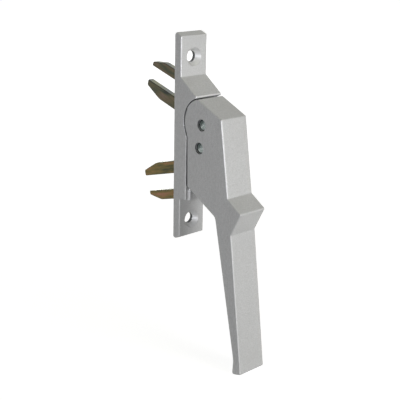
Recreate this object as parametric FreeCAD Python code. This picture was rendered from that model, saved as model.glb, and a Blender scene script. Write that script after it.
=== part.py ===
# Cremone handle: a lever on a narrow screw-on base, with two forks behind it that drive the door's rods.
# Units are millimetres. +Z is up, +Y points into the door and -Y towards the hand.
# The origin is midway between the two screw holes, on the base's back plane.
import FreeCAD, Part
import os
from math import atan2, cos, degrees, hypot, radians, sin, sqrt, tan

os.makedirs("parts", exist_ok=True)

# Base
bodyWidth = 20.0            # the base and the lever are equally wide
earThickness = 6.0
earTop = 65.1               # top end of the base, above the middle of the two screws
earBottom = -62.4
endSlope = 2.6              # the end faces lean in by this much towards the front
endRearRadius = 1.5
topCornerRadius = 2.6       # corners of the upper end, seen from the front
lowCornerRadius = 2.2
screwSpacing = 100.0
screwHoleRadius = 3.3
screwHeadRadius = 5.6       # countersink at the front face
screwHeadDepth = 3.0
screwHoleRelief = 1.0       # bevel round the hole at the back face
wedgeTop = 39.0             # height where the upper ear meets the sloping wedge
wedgeFront = 19.3           # how far forward the wedge's tip stands
wedgeTipHeight = 29.6
housingFront = 11.2
housingBottom = -34.8
housingFillet = 1.6
edgeRadius = 0.6            # broken edges across both castings
sideEdgeRadius = 0.8        # broken edges along their left and right faces

# Lever pivot and crank pin, as (forward, height)
pivotForward = 24.3
pivotHeight = 13.7
crankRadius = 14.0
crankAngle = -97.0          # direction from the pivot to the crank pin at rest, 0 pointing forward
leverSwing = 80.0
forkSwing = 30.0

# Lever
hubRadius = 14.85
hubClearance = 0.55         # gap between the lever's round end and the recess in the base
topSlope = 23.8             # how steeply the lever's top face falls towards the front
topDistance = 11.8          # from the pivot to the top face
cheekThickness = 3.1
webThickness = 2.0          # top wall of the lever's channel
webEnd = 105.2              # direction from the pivot to the rear end of that wall
frontWall = 2.6
cheekBehind = 12.4          # behind the pivot, where the cheeks' straight rear edge starts

# Corners of the lever from the pivot, as (forward, height, rounding)
shoulder = (16.2, 6.0, 1.0)
ridgeTop = (23.1, -38.7, 1.0)
ridgeNose = (34.1, -45.5, 0.9)
ridgeBottom = (26.6, -59.95, 1.0)
gripToe = (38.2, -145.1, 1.2)
gripHeel = (30.8, -147.4, 1.5)
gripNeck = (31.5, -137.85, 12.0)
knee = (12.7, -52.55, 4.0)
cheekHeel = (-11.8, -39.45, 1.5)

# The space between the lever's cheeks
channelFloor = (5.7, -44.35, 3.0)
channelCrown = 2.0          # rounding where the channel's top wall turns down
floorSlope = 30.0           # the channel's floor rises this steeply towards the front
mouthBack = 12.0            # how far behind the floor's corner the channel leaves the lever
mouthBelow = 5.0            # and how far below the knee

# Pins, bushes and washers
pivotPinRadius = 2.5
crankPinRadius = 2.0
crankEndRadius = 2.5
pinSink = 1.2               # the pin ends lie this far under the cheeks' faces
pinRecessRadius = 3.5
pinCupRadius = 1.4
pinCupDepth = 1.0
bushRadius = 4.0
bushFlangeRadius = 6.0
bushFlange = 0.5
washerRadius = 5.5
washerThickness = 0.3
forkPinRadius = 2.0
forkPinDepth = 17.5
forkSpacerRadius = 3.3
linkPinRadius = 1.75
pressGap = 0.01
runningGap = 0.05
slotGap = 0.1
sideGap = 0.1

# Lugs of the base, between the lever's cheeks
lugClearance = 1.0          # between a lug and a cheek, for the bush's flange and the washer
lugBossRadius = 8.4
tongueFront = 13.0
neckLow = (-7.1, -16.0)     # where the neck's lower edge meets the tongue, from the pivot
neckRadius = 2.0
bossTopAngle = 196.0        # where the neck leaves the boss, as directions from the pivot
bossLowAngle = 250.0
chinDrop = 9.0              # how far the tongue's front slopes down below the neck
chinRadius = 3.0
tongueEdgeRadius = 1.5
footHalfWidth = 8.4         # the tongue widens to a foot below the cheeks
footTop = -27.1
footRadius = 2.0
slotFloor = -19.4           # below this height the tongue is closed in front of the lower fork
pocketForward = 8.5
pocketRoom = 1.0            # the slot is longer than the forks by this at each end
pocketCorner = 1.0
pocketSteps = (3.0, 7.0)    # the pocket's ends step back from the full height at these depths
pocketDrops = (1.5, 5.5)
cutPast = 1.0               # how far a cut runs past the surface it opens

# Forks
forkTilt = 16.0
forkCentre = 26.1           # height where a fork's middle line crosses the back plane
forkPivotForward = 3.8
forkPivotHeight = 20.0
forkThickness = 4.0
forkOffset = 1.1            # the forks stand this far to either side of the middle
prongGap = 9.8
gapFlat = 0.02              # flat left between the two roundings at the bottom of the gap
gapDepth = -0.5             # bottom of the gap, behind the back plane when positive
outerProng = 6.2
innerProng = 7.7
outerReach = 34.0
innerReach = 35.3
outerTaperStart = 23.5
innerTaperStart = 22.3
outerTip = 2.6
innerTip = 3.8
rootDepth = 4.0             # the root reaches this far in front of the back plane
rootRadius = 4.0
prongRounding = 0.7         # at the prong tips
prongEdge = 0.6             # rolled edges of the stamped plate
outerBend = 8.0             # rounding where a prong starts to taper
innerBend = 14.0
forkBossRadius = 3.6
armHalfWidth = 1.8
slotWall = 1.2
armBackAngle = -101.0       # the upper arm leans back by this direction before it turns forward
armBackLength = 9.5
armKnee = (12.0, -2.5)
linkHeight = 0.0            # height of the link pin at rest

halfWidth = bodyWidth / 2
cheekInner = halfWidth - cheekThickness
lugOuter = cheekInner - lugClearance
armGap = sideGap            # the two arms pass each other with this to each side
armOuter = forkOffset + forkThickness / 2
slotHalfWidth = armOuter + 2 * sideGap
swingRatio = forkSwing / leverSwing
pocketHeight = forkCentre + (prongGap / 2 + outerProng) / cos(radians(forkTilt)) + pocketRoom


def polar(centre, radius, angle):
    """Point at a distance and a direction in degrees from a centre, as (forward, height)."""
    return (centre[0] + radius * cos(radians(angle)), centre[1] + radius * sin(radians(angle)))


def turned(point, centre, angle):
    """Point turned about a centre, positive from forward towards up."""
    a = radians(angle)
    du, dz = point[0] - centre[0], point[1] - centre[1]
    return (centre[0] + du * cos(a) - dz * sin(a), centre[1] + du * sin(a) + dz * cos(a))


def meet(p, angleP, q, angleQ):
    """Where two lines cross, each given by a point and a direction in degrees."""
    ax, az = cos(radians(angleP)), sin(radians(angleP))
    bx, bz = cos(radians(angleQ)), sin(radians(angleQ))
    t = ((q[0] - p[0]) * bz - (q[1] - p[1]) * bx) / (ax * bz - az * bx)
    return (p[0] + t * ax, p[1] + t * az)


def fromPivot(offset):
    """Point given by its distance forward of and above the lever's pivot."""
    return (pivotForward + offset[0], pivotHeight + offset[1])


def vec(point, x=0.0):
    return FreeCAD.Vector(x, -point[0], point[1])


def outline(corners):
    """Closed wire through (forward, height, radius) corners, each rounded by its radius."""
    arcs = {}
    starts = []
    ends = []
    count = len(corners)
    for i in range(count):
        u, z, r = corners[i]
        pu, pz, _ = corners[i - 1]
        nu, nz, _ = corners[(i + 1) % count]
        if r <= 0:
            starts.append((u, z))
            ends.append((u, z))
            continue
        a = hypot(pu - u, pz - z)
        b = hypot(nu - u, nz - z)
        d1 = ((pu - u) / a, (pz - z) / a)
        d2 = ((nu - u) / b, (nz - z) / b)
        half = atan2(abs(d1[0] * d2[1] - d1[1] * d2[0]), d1[0] * d2[0] + d1[1] * d2[1]) / 2
        back = r / tan(half)
        s = (u + d1[0] * back, z + d1[1] * back)
        e = (u + d2[0] * back, z + d2[1] * back)
        bis = (d1[0] + d2[0], d1[1] + d2[1])
        n = hypot(*bis)
        reach = r / sin(half) - r
        m = (u + bis[0] / n * reach, z + bis[1] / n * reach)
        arcs[i] = Part.Arc(vec(s), vec(m), vec(e)).toShape()
        starts.append(s)
        ends.append(e)
    ordered = []
    for i in range(count):
        if i in arcs:
            ordered.append(arcs[i])
        nxt = starts[(i + 1) % count]
        if hypot(nxt[0] - ends[i][0], nxt[1] - ends[i][1]) > 1e-6:
            ordered.append(Part.LineSegment(vec(ends[i]), vec(nxt)).toShape())
    return Part.Wire(ordered)


def plate(wire, x0, x1):
    """Solid of a flat outline between two places across the handle."""
    solid = Part.Face(wire).extrude(FreeCAD.Vector(x1 - x0, 0, 0))
    solid.translate(FreeCAD.Vector(x0, 0, 0))
    return solid


def rod(centre, radius, x0, x1):
    """Round bar across the handle."""
    return Part.makeCylinder(radius, x1 - x0, vec(centre, x0), FreeCAD.Vector(1, 0, 0))


def bar(p, q, half, x0, x1):
    """Flat bar with round ends between two points."""
    a = degrees(atan2(q[1] - p[1], q[0] - p[0]))
    corners = [polar(p, half, a + 90), polar(p, half, a - 90), polar(q, half, a - 90), polar(q, half, a + 90)]
    body = plate(outline([(u, z, 0) for u, z in corners]), x0, x1)
    return body.fuse([rod(p, half, x0, x1), rod(q, half, x0, x1)])


def channel(path, half, x0, x1):
    """Everything that a round pin touches on its way through the path's points."""
    body = rod(path[0], half, x0, x1)
    for start, end in zip(path, path[1:]):
        body = body.fuse(bar(start, end, half, x0, x1))
    return body.removeSplitter()


def softened(casting, keep):
    """Casting with the edges of its left and right faces rounded where keep is true."""
    edges = []
    for edge in casting.Edges:
        box = edge.BoundBox
        if box.XLength < 1e-4 and abs(abs(box.Center.x) - halfWidth) < 1e-4 and keep(edge):
            edges.append(edge)
    return casting.makeFillet(sideEdgeRadius, edges)


def save(shape, name):
    shape.exportStep(os.path.join("parts", name + ".step"))
    print(name, "solids", len(shape.Solids), "volume", round(shape.Volume, 1), "valid", shape.isValid())


pivot = (pivotForward, pivotHeight)
crank = polar(pivot, crankRadius, crankAngle)
upperPivot = (forkPivotForward, forkPivotHeight)
lowerPivot = (forkPivotForward, -forkPivotHeight)
recessRadius = hubRadius + hubClearance

armBack = polar(upperPivot, armBackLength, armBackAngle)
legAngle = degrees(atan2(armKnee[1] - armBack[1], armKnee[0] - armBack[0]))
link = meet(armBack, legAngle, (0, linkHeight), 0)

pathSteps = 6


def crankPath():
    """Where the crank pin goes, seen from the upper fork."""
    points = []
    for i in range(pathSteps + 1):
        lever = leverSwing * i / pathSteps
        points.append(turned(turned(crank, pivot, lever), upperPivot, -lever * swingRatio))
    return points


def linkPath():
    """Where the link pin goes, seen from the lower fork."""
    points = []
    for i in range(pathSteps + 1):
        swing = forkSwing * i / pathSteps
        points.append(turned(turned(link, upperPivot, swing), lowerPivot, swing))
    return points


def roundedFront():
    """Upright block with rounded corners as seen from the front, to trim the base's ends."""
    block = Part.makeBox(bodyWidth, 4 * wedgeFront, earTop - earBottom,
                         FreeCAD.Vector(-halfWidth, -2 * wedgeFront, earBottom))
    for radius, end in ((topCornerRadius, earTop), (lowCornerRadius, earBottom)):
        corners = [e for e in block.Edges
                   if e.BoundBox.YLength > 3 * wedgeFront and abs(e.BoundBox.Center.z - end) < 1e-4]
        block = block.makeFillet(radius, corners)
    return block


def countersunk(height):
    """Screw hole from the front, with its cone."""
    lip = FreeCAD.Vector(0, -earThickness, height)
    back = FreeCAD.Vector(0, 1, 0)
    cone = Part.makeCone(screwHeadRadius, screwHoleRadius, screwHeadDepth, lip, back)
    behind = Part.makeCone(screwHoleRadius + screwHoleRelief, screwHoleRadius, screwHoleRelief,
                           FreeCAD.Vector(0, 0, height), -back)
    return cone.fuse([Part.makeCylinder(screwHoleRadius, earThickness + cutPast, lip, back), behind])


def forkPocket():
    """Slot through the middle of the base for the forks and their arms."""
    bossFront = pivotForward + lugBossRadius + cutPast
    upper = [(-cutPast, pocketHeight, 0), (pocketSteps[0], pocketHeight, pocketCorner),
             (pocketSteps[1], pocketHeight - pocketDrops[0], pocketCorner),
             (pocketForward, pocketHeight - pocketDrops[1], pocketCorner)]
    lower = [(u, -z, r) for u, z, r in reversed(upper)]
    middle = [(pocketForward, forkPivotHeight, 0), (bossFront, forkPivotHeight + lugBossRadius, 0),
              (bossFront, slotFloor, 0), (pocketForward, slotFloor, 0)]
    return plate(outline(upper + middle + lower), -slotHalfWidth, slotHalfWidth)


def makeLugs():
    """Tongue between the lever's cheeks, with the boss that carries the pivot."""
    neckTop = polar(pivot, lugBossRadius, bossTopAngle)
    neckRoot = polar(pivot, recessRadius + 2 * cutPast, bossTopAngle)
    low = fromPivot(neckLow)
    bossLow = polar(pivot, lugBossRadius, bossLowAngle)
    inside = earThickness / 2
    tongue = [(neckRoot[0], neckRoot[1], 0), (neckTop[0], neckTop[1], 0), (pivotForward, pivotHeight, 0),
              (bossLow[0], bossLow[1], 0), (low[0], low[1], neckRadius),
              (tongueFront, low[1] - chinDrop, chinRadius), (tongueFront, housingBottom, 0),
              (inside, housingBottom, 0), (inside, neckRoot[1], 0)]
    foot = [(inside, housingBottom, 0), (tongueFront, housingBottom, 0), (tongueFront, footTop, footRadius / 2),
            (inside, footTop, 0)]
    parts = [rod(pivot, lugBossRadius, -lugOuter, lugOuter)]
    for corners, half, radius in ((tongue, lugOuter, tongueEdgeRadius), (foot, footHalfWidth, footRadius)):
        solid = plate(outline(corners), -half, half)
        front = [e for e in solid.Edges
                 if e.BoundBox.XLength < 1e-4 and abs(e.BoundBox.YMax + tongueFront) < 1e-4]
        parts.append(solid.makeFillet(radius, front))
    return parts[0].fuse(parts[1:])


def makeBase():
    cusp = pivotHeight - sqrt(recessRadius ** 2 - (pivotForward - housingFront) ** 2)
    side = [(0, earTop, endRearRadius), (earThickness, earTop - endSlope, edgeRadius),
            (earThickness, wedgeTop, 2 * edgeRadius),
            (wedgeFront, wedgeTipHeight, edgeRadius / 2), (wedgeFront, cusp, 0), (housingFront, cusp, 0),
            (housingFront, housingBottom, edgeRadius), (earThickness, housingBottom, housingFillet),
            (earThickness, earBottom + endSlope, edgeRadius), (0, earBottom, endRearRadius)]
    body = plate(outline(side), -halfWidth, halfWidth)
    body = body.cut(rod(pivot, recessRadius, -halfWidth - cutPast, halfWidth + cutPast))
    body = body.common(roundedFront())
    body = softened(body, lambda edge: edge.BoundBox.YMax < -cutPast / 2)
    body = body.fuse(makeLugs()).removeSplitter()
    body = body.cut(forkPocket())
    for height in (-screwSpacing / 2, screwSpacing / 2):
        body = body.cut(countersunk(height))
    body = body.cut(rod(pivot, bushRadius + pressGap, -lugOuter - cutPast, lugOuter + cutPast))
    for height in (-forkPivotHeight, forkPivotHeight):
        body = body.cut(rod((forkPivotForward, height), forkPinRadius + pressGap,
                            halfWidth - forkPinDepth, halfWidth + cutPast))
    return body


def makeLever():
    topPoint = polar(pivot, topDistance, 90 - topSlope)
    topRear = polar(topPoint, sqrt(hubRadius ** 2 - topDistance ** 2), 180 - topSlope)
    cusp = fromPivot((-cheekBehind, -sqrt(hubRadius ** 2 - cheekBehind ** 2)))
    side = [(pivotForward, pivotHeight, 0), (topRear[0], topRear[1], 0)]
    for forward, height, radius in (shoulder, ridgeTop, ridgeNose, ridgeBottom, gripToe, gripHeel, gripNeck,
                                    knee, cheekHeel):
        side.append((pivotForward + forward, pivotHeight + height, radius))
    side.append((cusp[0], cusp[1], 0))
    body = plate(outline(side), -halfWidth, halfWidth)
    hub = rod(pivot, hubRadius, -halfWidth, halfWidth)
    above, behind = pivotHeight + 2 * hubRadius, pivotForward - 2 * hubRadius
    around = [(pivotForward, pivotHeight, 0), (topRear[0], topRear[1], 0), (topRear[0], above, 0),
              (behind, above, 0), (behind, cusp[1], 0), (cusp[0], cusp[1], 0)]
    hub = hub.common(plate(outline(around), -halfWidth, halfWidth))
    body = body.fuse(hub).removeSplitter()
    body = softened(body, lambda edge: getattr(edge.Curve, "Radius", 0) < hubRadius - hubClearance)
    return body.cut(leverChannel())


def leverChannel():
    """Space between the cheeks, open towards the base."""
    innerTop = polar(pivot, topDistance - webThickness, 90 - topSlope)
    frontAngle = degrees(atan2(ridgeTop[1] - shoulder[1], ridgeTop[0] - shoulder[0]))
    innerFront = polar(fromPivot(shoulder), frontWall, frontAngle - 90)
    crown = meet(innerTop, -topSlope, innerFront, frontAngle)
    floor = fromPivot(channelFloor)
    low = meet(floor, floorSlope, innerFront, frontAngle)
    lip = meet(innerTop, -topSlope, pivot, webEnd)
    rear = polar(pivot, 2 * hubRadius, webEnd)
    below = fromPivot(knee)[1] - mouthBelow
    behind = pivotForward - 2 * hubRadius
    side = [(rear[0], rear[1], 0), (lip[0], lip[1], 0), (crown[0], crown[1], channelCrown),
            (low[0], low[1], channelFloor[2]), (floor[0], floor[1], channelFloor[2]),
            (floor[0] - mouthBack, below, 0), (behind, below, 0), (behind, rear[1], 0)]
    return plate(outline(side), -cheekInner, cheekInner)


def fork(side):
    """Stamped fork, upright side 1 for the upper and -1 for the lower, without its arm."""
    tilt = radians(forkTilt)
    half = prongGap / 2
    gapRadius = half - gapFlat / 2
    corners = []
    for along, across, radius in (
            (-rootDepth, -half - innerProng, 2 * prongRounding),
            (-rootDepth, half + outerProng, rootRadius),
            (outerTaperStart, half + outerProng, outerBend),
            (outerReach, half + outerTip, 2 * prongRounding),
            (outerReach, half, prongRounding),
            (gapDepth, half, gapRadius),
            (gapDepth, -half, gapRadius),
            (innerReach, -half, prongRounding),
            (innerReach, -half - innerTip, 2 * prongRounding),
            (innerTaperStart, -half - innerProng, innerBend)):
        forward = across * sin(tilt) - along * cos(tilt)
        height = forkCentre + along * sin(tilt) + across * cos(tilt)
        corners.append((forward, side * height, radius))
    x0 = side * forkOffset - forkThickness / 2
    body = plate(outline(corners), x0, x0 + forkThickness)
    behind = [e for e in body.Edges if e.BoundBox.XLength < 1e-4 and e.BoundBox.YMax > cutPast]
    body = body.makeFillet(prongEdge, behind)
    centre = (forkPivotForward, side * forkPivotHeight)
    return body.fuse(rod(centre, forkBossRadius, x0, x0 + forkThickness)), x0


def makeUpperFork():
    body, x0 = fork(1)
    x1 = x0 + forkThickness
    path = crankPath()
    arm = bar(upperPivot, armBack, armHalfWidth, armGap, x1)
    arm = arm.fuse(bar(armBack, armKnee, armHalfWidth, armGap, x1))
    arm = arm.fuse(bar(armKnee, path[0], armHalfWidth, armGap, x1))
    arm = arm.fuse(rod(link, linkPinRadius + slotWall, armGap, x1))
    arm = arm.fuse(channel(path, crankPinRadius + slotGap + slotWall, armGap, x1))
    body = body.fuse(arm).removeSplitter()
    body = body.cut(channel(path, crankPinRadius + slotGap, armGap - cutPast, x1 + cutPast))
    body = body.cut(rod(link, linkPinRadius + pressGap, armGap - cutPast, x1 + cutPast))
    return body.cut(rod(upperPivot, forkPinRadius + runningGap, x0 - cutPast, x1 + cutPast))


def makeLowerFork():
    body, x0 = fork(-1)
    x1 = x0 + forkThickness
    path = linkPath()
    arm = bar(lowerPivot, path[0], armHalfWidth, x0, -armGap)
    arm = arm.fuse(channel(path, linkPinRadius + slotGap + slotWall, x0, -armGap))
    body = body.fuse(arm).removeSplitter()
    body = body.cut(channel(path, linkPinRadius + slotGap, x0 - cutPast, cutPast))
    return body.cut(rod(lowerPivot, forkPinRadius + runningGap, x0 - cutPast, x1 + cutPast))


def cupped(shaft, centre, x, way):
    """Shaft with a small round cup in the end that faces the given way."""
    cup = Part.makeCylinder(pinCupRadius, pinCupDepth, vec(centre, x), FreeCAD.Vector(-way, 0, 0))
    return shaft.cut(cup)


def leverPin(centre, middleRadius, endRadius):
    """Pin across the lever, pressed into both cheeks, with cupped ends."""
    end = halfWidth - pinSink
    pin = rod(centre, middleRadius, -end, end)
    for way in (-1, 1):
        low, high = sorted((way * cheekInner, way * end))
        pin = pin.fuse(rod(centre, endRadius, low, high))
    pin = pin.removeSplitter()
    for way in (-1, 1):
        pin = cupped(pin, centre, way * end, way)
    return pin


def ring(centre, inner, outer, x0, x1):
    return rod(centre, outer, x0, x1).cut(rod(centre, inner, x0 - cutPast, x1 + cutPast))


def pivotBush(way):
    """Flanged bush in one lug."""
    inner, face, rim = way * slotHalfWidth, way * lugOuter, way * (lugOuter + bushFlange)
    sleeve = rod(pivot, bushRadius, min(inner, face), max(inner, face))
    flange = rod(pivot, bushFlangeRadius, min(face, rim), max(face, rim))
    bore = rod(pivot, pivotPinRadius + runningGap, -halfWidth, halfWidth)
    return sleeve.fuse(flange).removeSplitter().cut(bore)


def pivotWasher(way):
    start = way * (lugOuter + bushFlange + runningGap)
    end = start + way * washerThickness
    return ring(pivot, pivotPinRadius + runningGap, washerRadius, min(start, end), max(start, end))


def makeForkPin(side):
    pin = rod((forkPivotForward, side * forkPivotHeight), forkPinRadius, halfWidth - forkPinDepth + sideGap,
              halfWidth - edgeRadius)
    return pin


def makeForkSpacer(side):
    """Sleeve that fills the wide side of the slot beside a fork."""
    centre = (forkPivotForward, side * forkPivotHeight)
    face = -side * (forkThickness / 2 - forkOffset + sideGap)
    wall = -side * (slotHalfWidth - sideGap)
    return ring(centre, forkPinRadius + runningGap, forkSpacerRadius, min(face, wall), max(face, wall))


def leverBores(body):
    for centre, radius in ((pivot, pivotPinRadius), (crank, crankEndRadius)):
        body = body.cut(rod(centre, radius + pressGap, -halfWidth - cutPast, halfWidth + cutPast))
        for way in (-1, 1):
            low, high = sorted((way * (halfWidth - pinSink), way * (halfWidth + cutPast)))
            body = body.cut(rod(centre, pinRecessRadius, low, high))
    return body


save(makeBase(), "base")
save(leverBores(makeLever()), "lever")
save(makeUpperFork(), "upper_fork")
save(makeLowerFork(), "lower_fork")
save(leverPin(pivot, pivotPinRadius, pivotPinRadius), "pivot_pin")
save(leverPin(crank, crankPinRadius, crankEndRadius), "crank_pin")
save(rod(link, linkPinRadius, -armOuter, armOuter), "link_pin")
for way, name in ((-1, "left"), (1, "right")):
    save(pivotBush(way), "pivot_bush_" + name)
    save(pivotWasher(way), "pivot_washer_" + name)
for side, name in ((1, "upper"), (-1, "lower")):
    save(makeForkPin(side), name + "_fork_pin")
    save(makeForkSpacer(side), name + "_fork_spacer")
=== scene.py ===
import bpy
import bmesh
from math import pi, radians
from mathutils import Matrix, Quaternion, Vector


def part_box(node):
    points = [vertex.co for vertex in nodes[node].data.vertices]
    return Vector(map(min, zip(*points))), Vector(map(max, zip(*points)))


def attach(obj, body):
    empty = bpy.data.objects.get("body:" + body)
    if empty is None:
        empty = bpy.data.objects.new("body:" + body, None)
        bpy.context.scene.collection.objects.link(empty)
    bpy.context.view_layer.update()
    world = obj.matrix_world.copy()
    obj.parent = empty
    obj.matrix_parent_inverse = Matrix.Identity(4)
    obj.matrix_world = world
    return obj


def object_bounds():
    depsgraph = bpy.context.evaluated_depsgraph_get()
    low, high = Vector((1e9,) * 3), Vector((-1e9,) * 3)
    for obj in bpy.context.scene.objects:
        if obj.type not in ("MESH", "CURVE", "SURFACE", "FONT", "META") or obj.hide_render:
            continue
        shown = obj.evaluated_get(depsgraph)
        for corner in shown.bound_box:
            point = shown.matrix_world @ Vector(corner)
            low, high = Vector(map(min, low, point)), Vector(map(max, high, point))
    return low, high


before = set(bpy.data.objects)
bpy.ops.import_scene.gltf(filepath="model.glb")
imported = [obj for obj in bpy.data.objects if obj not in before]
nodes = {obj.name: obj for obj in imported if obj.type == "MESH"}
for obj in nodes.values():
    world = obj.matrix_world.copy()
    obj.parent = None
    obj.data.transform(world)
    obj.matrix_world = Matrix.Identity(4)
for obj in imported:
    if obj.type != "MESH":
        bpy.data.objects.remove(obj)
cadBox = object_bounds()
mm = 0.001
print("frame loaded:", len(nodes), "nodes")


def feed(tree, node, inputs):
    # links each named input of a node, or sets it where a plain value is given
    for name, value in inputs.items():
        if isinstance(value, bpy.types.NodeSocket):
            tree.links.new(value, node.inputs[name])
        else:
            node.inputs[name].default_value = value
    return node


def nodeOf(tree, kind, inputs):
    return feed(tree, tree.nodes.new(kind), inputs)


def maths(tree, how, a, b=0.0):
    node = tree.nodes.new("ShaderNodeMath")
    node.operation = how
    return feed(tree, node, {0: a, 1: b}).outputs["Value"]


def times(tree, a, b):
    return maths(tree, "MULTIPLY", a, b)


def plus(tree, a, b):
    return maths(tree, "ADD", a, b)


def minus(tree, a, b):
    return maths(tree, "SUBTRACT", a, b)


def absolute(tree, a):
    return maths(tree, "ABSOLUTE", a)


def lengthOf(tree, a, b):
    return maths(tree, "SQRT", plus(tree, times(tree, a, a), times(tree, b, b)))


def splitOf(tree, vector):
    return nodeOf(tree, "ShaderNodeSeparateXYZ", {"Vector": vector}).outputs


def facing(tree):
    # x, y and z of the surface's direction, which stay with the piece when it swings
    return splitOf(tree, tree.nodes.new("ShaderNodeTexCoord").outputs["Normal"])


def spreadOf(tree, value, fromLow, fromHigh, low=0.0, high=1.0):
    ends = {"From Min": fromLow, "From Max": fromHigh, "To Min": low, "To Max": high}
    return nodeOf(tree, "ShaderNodeMapRange", {"Value": value, **ends}).outputs["Result"]


def bandOf(tree, value, middle, half, fade):
    # 1 within half of the middle, falling to 0 over the fade
    return spreadOf(tree, absolute(tree, minus(tree, value, middle)), half + fade, half)


def awayFrom(tree, coords, centre):
    # distance in metres from a line across the handle, given as (depth, height)
    place = splitOf(tree, coords)
    return lengthOf(tree, minus(tree, place["Y"], centre[0]), minus(tree, place["Z"], centre[1]))


def noiseOf(tree, coords, scale, detail, stretch=(1, 1, 1)):
    # scale is counted per metre, so 1000 gives grains of about a millimetre
    if stretch != (1, 1, 1):
        mapping = nodeOf(tree, "ShaderNodeMapping", {"Vector": coords, "Scale": stretch})
        coords = mapping.outputs["Vector"]
    inputs = {"Vector": coords, "Scale": scale, "Detail": detail}
    return nodeOf(tree, "ShaderNodeTexNoise", inputs).outputs["Fac"]


noiseReach = (0.3, 0.7)      # most of a noise lies between these values
noiseMiddle = 0.5


def rangeOf(tree, noise, low, high):
    return spreadOf(tree, noise, *noiseReach, low, high)


def rampOf(tree, value, stops):
    ramp = nodeOf(tree, "ShaderNodeValToRGB", {"Fac": value})
    while len(ramp.color_ramp.elements) < len(stops):
        ramp.color_ramp.elements.new(0.5)
    for element, (place, colour) in zip(ramp.color_ramp.elements, stops):
        element.position = place
        element.color = (*colour, 1)
    return ramp.outputs["Color"]


def blendOf(tree, value, colourA, colourB, how="MIX"):
    mix = tree.nodes.new("ShaderNodeMix")
    mix.data_type = "RGBA"
    mix.blend_type = how
    tree.links.new(value, mix.inputs["Factor"])
    for socket, colour in (("A", colourA), ("B", colourB)):
        target = [s for s in mix.inputs if s.name == socket and s.type == "RGBA"][0]
        if isinstance(colour, tuple):
            target.default_value = (*colour, 1)
        else:
            tree.links.new(colour, target)
    return [s for s in mix.outputs if s.type == "RGBA"][0]


def bumpOf(tree, value, depth, strength, under=None):
    inputs = {"Height": value, "Distance": depth, "Strength": strength}
    if under is not None:
        inputs["Normal"] = under
    return nodeOf(tree, "ShaderNodeBump", inputs).outputs["Normal"]


def newTree(name):
    # a Principled material and the coordinates of the piece it goes on
    mat = bpy.data.materials.new(name)
    mat.use_nodes = True
    tree = mat.node_tree
    tree.nodes.clear()
    shader = tree.nodes.new("ShaderNodeBsdfPrincipled")
    nodeOf(tree, "ShaderNodeOutputMaterial", {"Surface": shader.outputs["BSDF"]})
    return mat, tree, shader, tree.nodes.new("ShaderNodeTexCoord").outputs["Object"]


# Axes across the handle, as (depth, height), read from the pins
pinAxes = {}
for name in ("pivot_pin", "crank_pin"):
    low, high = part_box(name)
    pinAxes[name] = ((low[1] + high[1]) / 2, (low[2] + high[2]) / 2)
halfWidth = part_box("lever")[1][0]
screwHeight = 50 * mm
earFront = -6 * mm

# Satin silver lacquer over a die-cast body: a painted highlight brightens its rounded edges, and it is
# speckled, clouded and dimpled all over. Noises are (scale per metre, detail, stretch)
lacquer = {
    "speckle": ((0.30, (0.42, 0.42, 0.41)), (0.50, (0.485, 0.485, 0.48)), (0.72, (0.56, 0.56, 0.555))),
    "metallic": 0.18,
    "roughness": (0.34, 0.44),
    "coat": 0.25,
    "coatRoughness": 0.2,
    "grain": (1500, 3),
    "grainBump": (0.015 * mm, 0.4),      # depth and strength
    "peel": (380, 2),
    "peelBump": (0.03 * mm, 0.35),
    "rubbed": (112, 3),                  # slow change of the roughness
    "cloud": (28, 2),                    # slow drift towards the drift tone
    "cloudShare": 0.30,
    "streak": (160, 3, (1, 1, 0.22)),
    "streakShare": 0.22,
    "driftTone": (0.42, 0.42, 0.41),
    "linish": (900, 2, (1, 1, 0.45)),    # belt marks on the flat cheeks
    "linishTone": (0.92, 1.08),          # what they multiply the tone by, from dark to light
    "cheek": 0.97,                       # a cheek faces left or right by more than this
    # painted highlight on the rounded edges: its tone and its share
    "edgeHighlightTone": (0.80, 0.80, 0.79),
    "edgeHighlightShare": 0.6,
    "edgeSheen": 0.10,                   # taken from the roughness
    "upright": (0.0, 0.16, 0.12),        # painted highlight on an upright edge, by its z, as (middle, half, fade)
    "turning": (0.66, 0.14, 0.16),       # and by its x
    "edgeFade": 0.25 * mm,
}

# Painted highlights on the edges across the castings, as (depth, height), reach and strength
crossHighlights = {
    "base": ((-19.3 * mm, 29.2 * mm), 0.55 * mm, 0.5),      # tip of the wedge over the hub
    "lever": ((-58.1 * mm, -31.8 * mm), 0.55 * mm, 0.2),    # nose of the ridge
}

# Painted shade: a dark colour in the gaps and bores, where shade falls. A ring is (radius, half width)
# round the pivot
paintedShade = {
    "tone": (0.05, 0.055, 0.055),
    "fade": 0.15 * mm,
    "recess": 3.6 * mm,                  # round each pin's axis
    "recessFade": 0.05 * mm,
    "recessUnder": 0.04 * mm,            # starts this far below the cheek's face
    "recessShare": 0.45,
    "rim": (14.6 * mm, 0.38 * mm),       # the hub's own rim
    "rimBehind": -11.9 * mm,             # only where the hub bulges past the cheeks' rear edge
    "rimShare": 0.85,
    "seam": (15.4 * mm, 0.35 * mm),      # the recess round the hub and the inner side of its edge
    "seamTurn": 0.78,                    # leaves out what faces sideways by more than this
    "seamShare": 0.9,
    "housingShade": (-11.1 * mm, 0.15 * mm, 0.02 * mm),       # painted shade on the front of the housing, by its depth
    "housingShadeHeight": (-10.0 * mm, 15.5 * mm, 1.5 * mm),  # along the cheeks, from heel to hub
    "housingShadeShare": 0.5,
}

# Countersinks turned in the lacquered ears, and painted shade in the bores behind them
countersink = {
    "bore": 3.4 * mm,
    "radius": 5.6 * mm,
    "depth": 3.0 * mm,                   # of the cone's deep end, from the back plane
    "inside": 0.05 * mm,                 # the cone's mask stops this far within its ends
    "fade": 0.01 * mm,
    "tone": (0.60, 0.60, 0.59),
    "metallic": 0.14,                    # added to the lacquer's
    "roughness": 0.12,                   # added to the lacquer's
    "marks": 1.9e4,                      # turning marks, in radians per metre
    "markDepth": 0.012 * mm,
}


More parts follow.
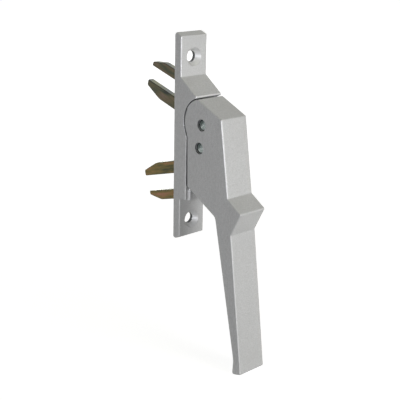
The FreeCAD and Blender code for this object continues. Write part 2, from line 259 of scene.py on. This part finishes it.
def edgeHighlightMask(tree, coords, crossHighlight):
    # 1 where a highlight is painted on the rounded edges: the upright ones by their direction, the one
    # across the handle by its place
    way = facing(tree)
    upright = times(tree, bandOf(tree, way["Z"], *lacquer["upright"]),
                    bandOf(tree, absolute(tree, way["X"]), *lacquer["turning"]))
    place, reach, strength = crossHighlight
    near = bandOf(tree, awayFrom(tree, coords, place), 0.0, reach, lacquer["edgeFade"])
    return maths(tree, "MAXIMUM", upright, times(tree, near, strength))


def shaded(tree, colour, mask, share):
    # blends the colour towards the painted shade's dark tone, by the mask and the share
    return blendOf(tree, times(tree, mask, share), colour, paintedShade["tone"])


def leverShade(tree, coords, colour):
    # painted shade in the recesses round the pins, and on the hub's rim where it lies in the base
    place = splitOf(tree, coords)
    under = maths(tree, "LESS_THAN", absolute(tree, place["X"]), halfWidth - paintedShade["recessUnder"])
    for axis in pinAxes.values():
        near = bandOf(tree, awayFrom(tree, coords, axis), 0.0, paintedShade["recess"], paintedShade["recessFade"])
        colour = shaded(tree, colour, times(tree, under, near), paintedShade["recessShare"])
    behind = maths(tree, "GREATER_THAN", place["Y"], paintedShade["rimBehind"])
    ring = bandOf(tree, awayFrom(tree, coords, pinAxes["pivot_pin"]), *paintedShade["rim"], paintedShade["fade"])
    return shaded(tree, colour, times(tree, behind, ring), paintedShade["rimShare"])


def baseShade(tree, coords, colour):
    # painted shade in the seam round the hub, and on the housing's front along the cheeks
    inward = maths(tree, "LESS_THAN", absolute(tree, facing(tree)["X"]), paintedShade["seamTurn"])
    ring = bandOf(tree, awayFrom(tree, coords, pinAxes["pivot_pin"]), *paintedShade["seam"], paintedShade["fade"])
    colour = shaded(tree, colour, times(tree, inward, ring), paintedShade["seamShare"])
    place = splitOf(tree, coords)
    housingShade = times(tree, bandOf(tree, place["Y"], *paintedShade["housingShade"]),
                bandOf(tree, place["Z"], *paintedShade["housingShadeHeight"]))
    return shaded(tree, colour, housingShade, paintedShade["housingShadeShare"])


def holeMasks(tree, coords):
    # the two countersinks, the bores behind them, and the distance from their axes
    place = splitOf(tree, coords)
    away = lengthOf(tree, place["X"], minus(tree, absolute(tree, place["Z"]), screwHeight))
    bottom = -countersink["depth"]
    deep = maths(tree, "GREATER_THAN", place["Y"], bottom - countersink["inside"])
    bore = times(tree, deep, maths(tree, "LESS_THAN", away, countersink["bore"]))
    middle = (earFront + bottom) / 2
    half = middle - earFront - countersink["inside"]
    sunk = bandOf(tree, place["Y"], middle, half, countersink["fade"])
    cone = times(tree, sunk, maths(tree, "LESS_THAN", away, countersink["radius"]))
    return bore, cone, away


def makeLacquer(name):
    mat, tree, shader, coords = newTree(name + "Lacquer")
    grain = noiseOf(tree, coords, *lacquer["grain"])
    colour = rampOf(tree, grain, lacquer["speckle"])
    cloud = rangeOf(tree, noiseOf(tree, coords, *lacquer["cloud"]), 0.0, lacquer["cloudShare"])
    streak = rangeOf(tree, noiseOf(tree, coords, *lacquer["streak"]), 0.0, lacquer["streakShare"])
    colour = blendOf(tree, plus(tree, cloud, streak), colour, lacquer["driftTone"])
    cheek = maths(tree, "GREATER_THAN", absolute(tree, facing(tree)["X"]), lacquer["cheek"])
    linished = rangeOf(tree, noiseOf(tree, coords, *lacquer["linish"]), *lacquer["linishTone"])
    colour = blendOf(tree, cheek, colour, linished, "MULTIPLY")
    # painted highlight on the edges, which are also made glossier
    edge = edgeHighlightMask(tree, coords, crossHighlights[name])
    colour = blendOf(tree, times(tree, edge, lacquer["edgeHighlightShare"]), colour, lacquer["edgeHighlightTone"])
    rough = rangeOf(tree, noiseOf(tree, coords, *lacquer["rubbed"]), *lacquer["roughness"])
    rough = minus(tree, rough, times(tree, edge, lacquer["edgeSheen"]))
    peel = bumpOf(tree, noiseOf(tree, coords, *lacquer["peel"]), *lacquer["peelBump"])
    bump = bumpOf(tree, grain, *lacquer["grainBump"], peel)
    metallic, coat = lacquer["metallic"], lacquer["coat"]
    if name == "lever":
        colour = leverShade(tree, coords, colour)
    else:
        colour = baseShade(tree, coords, colour)
        bore, cone, away = holeMasks(tree, coords)
        colour = blendOf(tree, cone, colour, countersink["tone"])
        # painted shade in the bores
        colour = blendOf(tree, bore, colour, paintedShade["tone"])
        rough = plus(tree, rough, times(tree, cone, countersink["roughness"]))
        metallic = plus(tree, metallic, times(tree, cone, countersink["metallic"]))
        coat = times(tree, minus(tree, 1.0, cone), coat)
        marks = maths(tree, "SINE", times(tree, away, countersink["marks"]))
        bump = bumpOf(tree, times(tree, cone, marks), countersink["markDepth"], 1.0, bump)
    feed(tree, shader, {"Base Color": colour, "Roughness": rough, "Normal": bump, "Metallic": metallic,
                        "Coat Weight": coat, "Coat Roughness": lacquer["coatRoughness"]})
    return mat


# Stamped steel forks with a yellow zinc passivation: dark, olive, straw and rose streaks along the
# prongs, dark where a face rolls over, and paler, greyer sheared edges
passivation = {
    "upper_fork": ((0.030, 0.033, 0.028), (0.058, 0.062, 0.038),
                   (0.098, 0.083, 0.046), (0.135, 0.096, 0.074)),
    "lower_fork": ((0.040, 0.043, 0.022), (0.105, 0.088, 0.030),
                   (0.165, 0.112, 0.038), (0.25, 0.118, 0.072)),
    "stops": (0.32, 0.43, 0.54, 0.68),
    "tilt": {"upper_fork": 16, "lower_fork": -16},   # degrees from level, along the prongs
    "streak": (210, 4, (0.6, 0.30, 1.5)),
    "rolled": (0.80, 0.12, 0.07),                    # by how far a face looks sideways
    "sheared": (0.0, 0.25, 0.40),
    "patch": (120, 2),
    "patchTones": ((0.42, (0.15, 0.165, 0.155)), (0.58, (0.22, 0.225, 0.15))),
    "metallic": 0.8,
    "roughness": (0.26, 0.42),
    "grain": (900, 4, (1, 0.2, 1)),
    "grainBump": (0.02 * mm, 0.4),
}


def makePassivation(name):
    mat, tree, shader, coords = newTree(name + "Plate")
    tilt = (radians(-passivation["tilt"][name]), 0, 0)
    along = nodeOf(tree, "ShaderNodeMapping", {"Vector": coords, "Rotation": tilt}).outputs["Vector"]
    tones = passivation[name]
    stops = tuple(zip(passivation["stops"], tones))
    colour = rampOf(tree, noiseOf(tree, along, *passivation["streak"]), stops)
    across = absolute(tree, facing(tree)["X"])
    colour = blendOf(tree, bandOf(tree, across, *passivation["rolled"]), colour, tones[0])
    patches = rampOf(tree, noiseOf(tree, along, *passivation["patch"]), passivation["patchTones"])
    colour = blendOf(tree, bandOf(tree, across, *passivation["sheared"]), colour, patches)
    grain = noiseOf(tree, along, *passivation["grain"])
    feed(tree, shader, {"Base Color": colour, "Metallic": passivation["metallic"],
                        "Roughness": rangeOf(tree, grain, *passivation["roughness"]),
                        "Normal": bumpOf(tree, grain, *passivation["grainBump"])})
    return mat


# Steel of the pins, the plated washers and the riveted heads. The heads carry a painted shade where they
# look up and to the door
steel = {
    "rivetSteel": {"dark": (0.10, 0.125, 0.12), "light": (0.42, 0.46, 0.45), "rough": (0.08, 0.16),
                   "shadedSide": (0.055, 0.072, 0.068)},
    "drawnSteel": {"dark": (0.11, 0.13, 0.125), "light": (0.25, 0.28, 0.27), "rough": (0.14, 0.22)},
    "platedSteel": {"dark": (0.42, 0.42, 0.41), "light": (0.60, 0.60, 0.59), "rough": (0.25, 0.38)},
    "streak": (1400, 3, (0.15, 1, 1)),
    "stops": (0.35, 0.65),
    "metallic": 0.9,
    "bump": (0.01 * mm, 0.3),
    "shadedSideBand": (1.2, 0.95, 0.40),       # painted shade, by how far a face looks up and to the door
    "shadedSideDrift": 0.25,                   # how much the streaks move its border
}


def makeSteel(name):
    finish = steel[name]
    mat, tree, shader, coords = newTree(name)
    streaks = noiseOf(tree, coords, *steel["streak"])
    colour = rampOf(tree, streaks, tuple(zip(steel["stops"], (finish["dark"], finish["light"]))))
    # painted shade on the side of each head that looks up and to the door
    if "shadedSide" in finish:
        way = facing(tree)
        drift = times(tree, minus(tree, streaks, noiseMiddle), steel["shadedSideDrift"])
        side = plus(tree, plus(tree, way["Y"], way["Z"]), drift)
        colour = blendOf(tree, bandOf(tree, side, *steel["shadedSideBand"]), colour, finish["shadedSide"])
    feed(tree, shader, {"Base Color": colour, "Metallic": steel["metallic"],
                        "Roughness": rangeOf(tree, streaks, *finish["rough"]),
                        "Normal": bumpOf(tree, streaks, *steel["bump"])})
    return mat


nylon = {
    "tones": ((0.3, (0.60, 0.585, 0.52)), (0.7, (0.70, 0.685, 0.62))),
    "cloud": (500, 2),
    "roughness": 0.42,
    "subsurface": 0.1,
    "depth": 1.0 * mm,
    "bump": (0.01 * mm, 0.3),
}


def makeNylon():
    mat, tree, shader, coords = newTree("naturalNylon")
    cloud = noiseOf(tree, coords, *nylon["cloud"])
    feed(tree, shader, {"Base Color": rampOf(tree, cloud, nylon["tones"]),
                        "Roughness": nylon["roughness"], "Subsurface Weight": nylon["subsurface"],
                        "Subsurface Scale": nylon["depth"],
                        "Normal": bumpOf(tree, cloud, *nylon["bump"])})
    return mat


def dress(name, material):
    mesh = nodes[name].data
    mesh.materials.clear()
    mesh.materials.append(material)


drawnSteel = makeSteel("drawnSteel")
rivetSteel = makeSteel("rivetSteel")
platedSteel = makeSteel("platedSteel")
naturalNylon = makeNylon()
for name in nodes:
    if name in crossHighlights:
        dress(name, makeLacquer(name))
    elif name in passivation:
        dress(name, makePassivation(name))
    elif "washer" in name:
        dress(name, platedSteel)
    elif "bush" in name or "spacer" in name:
        dress(name, naturalNylon)
    elif name.endswith("pin"):
        dress(name, drawnSteel)
print("materials on the carried-over nodes")


# Closed ends of the two lever pins: a domed, turned head in each recess of the cheeks
rivetHeads = {
    "Radius": 3.3 * mm,
    "Rise": 1.15 * mm,       # height of the dome over the pin's end
    "Foot": 0.15 * mm,       # how far the head reaches back round the pin
    "Groove": 0.018 * mm,    # depth of the turning marks
    "Rings": 9,
    "Around": 72,
}
stepsPerRing = 6             # of the outline, so each turning mark keeps its shape
leastRadius = 0.02 * mm      # of the outline's tip


def domeProfile(tree, begin):
    # outline of a head along +X, from the pin over the dome in fine steps, each with its radius
    line = nodeOf(tree, "GeometryNodeCurvePrimitiveLine", {"End": (1, 0, 0)}).outputs["Curve"]
    count = times(tree, begin["Rings"], stepsPerRing)
    steps = nodeOf(tree, "GeometryNodeResampleCurve", {"Curve": line, "Count": count}).outputs["Curve"]
    factor = tree.nodes.new("GeometryNodeSplineParameter").outputs["Factor"]
    # the radius follows a quarter circle and the turning marks ripple the dome
    angle = times(tree, factor, pi / 2)
    reach = times(tree, maths(tree, "COSINE", angle), begin["Radius"])
    swell = times(tree, maths(tree, "SINE", angle), begin["Rise"])
    ripple = maths(tree, "SINE", times(tree, times(tree, factor, begin["Rings"]), 2 * pi))
    first = maths(tree, "LESS_THAN", factor, 0.001)
    swell = plus(tree, swell, times(tree, ripple, begin["Groove"]))
    swell = minus(tree, swell, times(tree, begin["Foot"], first))
    spot = nodeOf(tree, "ShaderNodeCombineXYZ", {"X": swell}).outputs["Vector"]
    moved = nodeOf(tree, "GeometryNodeSetPosition", {"Geometry": steps, "Position": spot})
    inputs = {"Curve": moved.outputs["Geometry"], "Radius": maths(tree, "MAXIMUM", reach, leastRadius)}
    return nodeOf(tree, "GeometryNodeSetCurveRadius", inputs).outputs["Curve"]


def headTree(material):
    tree = bpy.data.node_groups.new("rivetHeads", "GeometryNodeTree")
    face = tree.interface
    face.new_socket("Geometry", in_out="INPUT", socket_type="NodeSocketGeometry")
    for name, value in rivetHeads.items():
        kind = "NodeSocketInt" if isinstance(value, int) else "NodeSocketFloat"
        face.new_socket(name, in_out="INPUT", socket_type=kind)
    face.new_socket("Geometry", in_out="OUTPUT", socket_type="NodeSocketGeometry")
    begin = tree.nodes.new("NodeGroupInput").outputs

    profile = domeProfile(tree, begin)
    circle = {"Resolution": begin["Around"], "Radius": 1}
    ring = nodeOf(tree, "GeometryNodeCurvePrimitiveCircle", circle).outputs["Curve"]
    swept = {"Curve": profile, "Profile Curve": ring, "Fill Caps": True}
    skin = nodeOf(tree, "GeometryNodeCurveToMesh", swept)
    if "Scale" in skin.inputs:
        feed(tree, skin, {"Scale": tree.nodes.new("GeometryNodeInputRadius").outputs["Radius"]})

    # One head on each point, turned to face outwards
    place = splitOf(tree, tree.nodes.new("GeometryNodeInputPosition").outputs["Position"])
    half = times(tree, maths(tree, "LESS_THAN", place["X"], 0.0), pi)
    turn = nodeOf(tree, "ShaderNodeCombineXYZ", {"Z": half}).outputs["Vector"]
    put = nodeOf(tree, "GeometryNodeInstanceOnPoints",
                 {"Points": begin["Geometry"], "Instance": skin.outputs["Mesh"], "Rotation": turn})
    real = nodeOf(tree, "GeometryNodeRealizeInstances", {"Geometry": put.outputs["Instances"]})
    painted = {"Geometry": real.outputs["Geometry"], "Material": material}
    paint = nodeOf(tree, "GeometryNodeSetMaterial", painted)
    nodeOf(tree, "NodeGroupOutput", {"Geometry": paint.outputs["Geometry"]})
    return tree


def placed(name, data):
    piece = bpy.data.objects.new(name, data)
    bpy.context.scene.collection.objects.link(piece)
    return piece


def grown(name, mesh, tree, sizes):
    # runs a node tree on a mesh and keeps the plain result
    piece = placed(name, mesh)
    modifier = piece.modifiers.new("nodes", "NODES")
    modifier.node_group = tree
    for item in tree.interface.items_tree:
        if item.name in sizes and item.in_out == "INPUT":
            modifier[item.identifier] = sizes[item.name]
    sight = bpy.context.evaluated_depsgraph_get()
    result = bpy.data.meshes.new_from_object(piece.evaluated_get(sight))
    piece.modifiers.remove(modifier)
    piece.data = result
    return piece


def makeHeads():
    spots = []
    for name, (depth, height) in pinAxes.items():
        low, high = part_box(name)
        spots += [(low[0], depth, height), (high[0], depth, height)]
    mesh = bpy.data.meshes.new("rivetSpots")
    mesh.from_pydata(spots, [], [])
    heads = grown("rivetHeads", mesh, headTree(rivetSteel), rivetHeads)
    shape = bmesh.new()
    shape.from_mesh(heads.data)
    bmesh.ops.recalc_face_normals(shape, faces=shape.faces)
    for face in shape.faces:
        face.smooth = True
    shape.to_mesh(heads.data)
    shape.free()
    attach(heads, "lever")
    print("rivet heads:", len(heads.data.polygons), "faces")


makeHeads()


# Camera at the photograph's viewing angle
view = {
    "place": (-0.340461, -0.382116, 0.125336),
    "aim": (-0.003939, -0.017574, -0.034582),
    "roll": 1.122,           # degrees, the picture leans this much
    "lens": 78.08,
    "shift": (0.00045, 0.0018),
    "nearest": 0.01,
}


def addCamera():
    data = bpy.data.cameras.new("photoView")
    data.lens = view["lens"]
    data.shift_x, data.shift_y = view["shift"]
    data.clip_start = view["nearest"]
    camera = placed("photoView", data)
    camera.location = view["place"]
    towards = (Vector(view["aim"]) - camera.location).normalized()
    camera.rotation_mode = "QUATERNION"
    camera.rotation_quaternion = (towards.to_track_quat("-Z", "Y")
                                  @ Quaternion((0, 0, 1), radians(view["roll"])))
    bpy.context.scene.camera = camera


# Soft studio light: a large lamp in front, a fill from the front left, weaker ones above and behind
lamps = {
    "front": {"place": (0.30, -1.45, 0.27), "size": 0.9, "power": 15.2, "colour": (1, 1, 1)},
    "above": {"place": (-0.2, -0.3, 1.4), "size": 1.0, "power": 1.6, "colour": (1, 1, 0.4)},
    "left": {"place": (-0.84, -0.49, -0.04), "size": 0.4, "power": 4.22, "colour": (0.90, 0.915, 1)},
    "behind": {"place": (0.55, 1.35, 0.0), "size": 0.8, "power": 7.0, "colour": (1, 1, 1)},
}
lampAim = Vector((0, 0, -0.03))
surround = (0.01, 1.0)       # strength of its light, then how white it looks
floorSheet = {
    "half": 4.0,
    "drop": 0.0006,          # gap under the object
    "tone": (0.45, 0.45, 0.45, 1),
    "glow": (0.15, 0.6, 0.90, 1.0),      # distances in metres, then how white the floor looks at each
}


def addLamps():
    for name, lamp in lamps.items():
        data = bpy.data.lights.new(name, "AREA")
        data.shape = "DISK"
        data.size = lamp["size"]
        data.energy = lamp["power"]
        data.color = lamp["colour"]
        holder = placed(name, data)
        holder.location = lamp["place"]
        holder.rotation_euler = (lampAim - holder.location).to_track_quat("-Z", "Y").to_euler()


def seenByCamera(tree):
    # 1 where the camera, a mirror or glass looks straight at the backdrop
    rays = tree.nodes.new("ShaderNodeLightPath").outputs
    seen = maths(tree, "MAXIMUM", rays["Is Camera Ray"], rays["Is Glossy Ray"])
    return maths(tree, "MAXIMUM", seen, rays["Is Transmission Ray"])


def addSurround():
    world = bpy.data.worlds.new("surround")
    world.use_nodes = True
    tree = world.node_tree
    tree.nodes.clear()
    light, white = (nodeOf(tree, "ShaderNodeBackground", {"Color": (1, 1, 1, 1), "Strength": strength})
                    for strength in surround)
    mix = nodeOf(tree, "ShaderNodeMixShader",
                 {0: seenByCamera(tree), 1: light.outputs["Background"], 2: white.outputs["Background"]})
    nodeOf(tree, "ShaderNodeOutputWorld", {"Surface": mix.outputs["Shader"]})
    bpy.context.scene.world = world


def floorMaterial():
    # matte for the light and nearly white to look at, a little darker round the object
    mat = bpy.data.materials.new("floorWhite")
    mat.use_nodes = True
    tree = mat.node_tree
    tree.nodes.clear()
    far = tree.nodes.new("ShaderNodeVectorMath")
    far.operation = "LENGTH"
    feed(tree, far, {0: tree.nodes.new("ShaderNodeTexCoord").outputs["Object"]})
    strength = spreadOf(tree, far.outputs["Value"], *floorSheet["glow"])
    glow = nodeOf(tree, "ShaderNodeEmission", {"Strength": strength}).outputs["Emission"]
    matte = nodeOf(tree, "ShaderNodeBsdfDiffuse", {"Color": floorSheet["tone"]}).outputs["BSDF"]
    both = nodeOf(tree, "ShaderNodeAddShader", {0: matte, 1: glow}).outputs["Shader"]
    mix = nodeOf(tree, "ShaderNodeMixShader", {0: seenByCamera(tree), 1: matte, 2: both})
    nodeOf(tree, "ShaderNodeOutputMaterial", {"Surface": mix.outputs["Shader"]})
    return mat


def addFloor():
    half = floorSheet["half"]
    low = cadBox[0][2] - floorSheet["drop"]
    mesh = bpy.data.meshes.new("floor")
    corners = [(-half, -half, low), (half, -half, low), (half, half, low), (-half, half, low)]
    mesh.from_pydata(corners, [], [(0, 1, 2, 3)])
    mesh.materials.append(floorMaterial())
    floor = placed("floor", mesh)


addCamera()
addLamps()
addSurround()
addFloor()
bpy.context.scene.view_settings.view_transform = "Standard"
print("camera, lamps and floor placed")
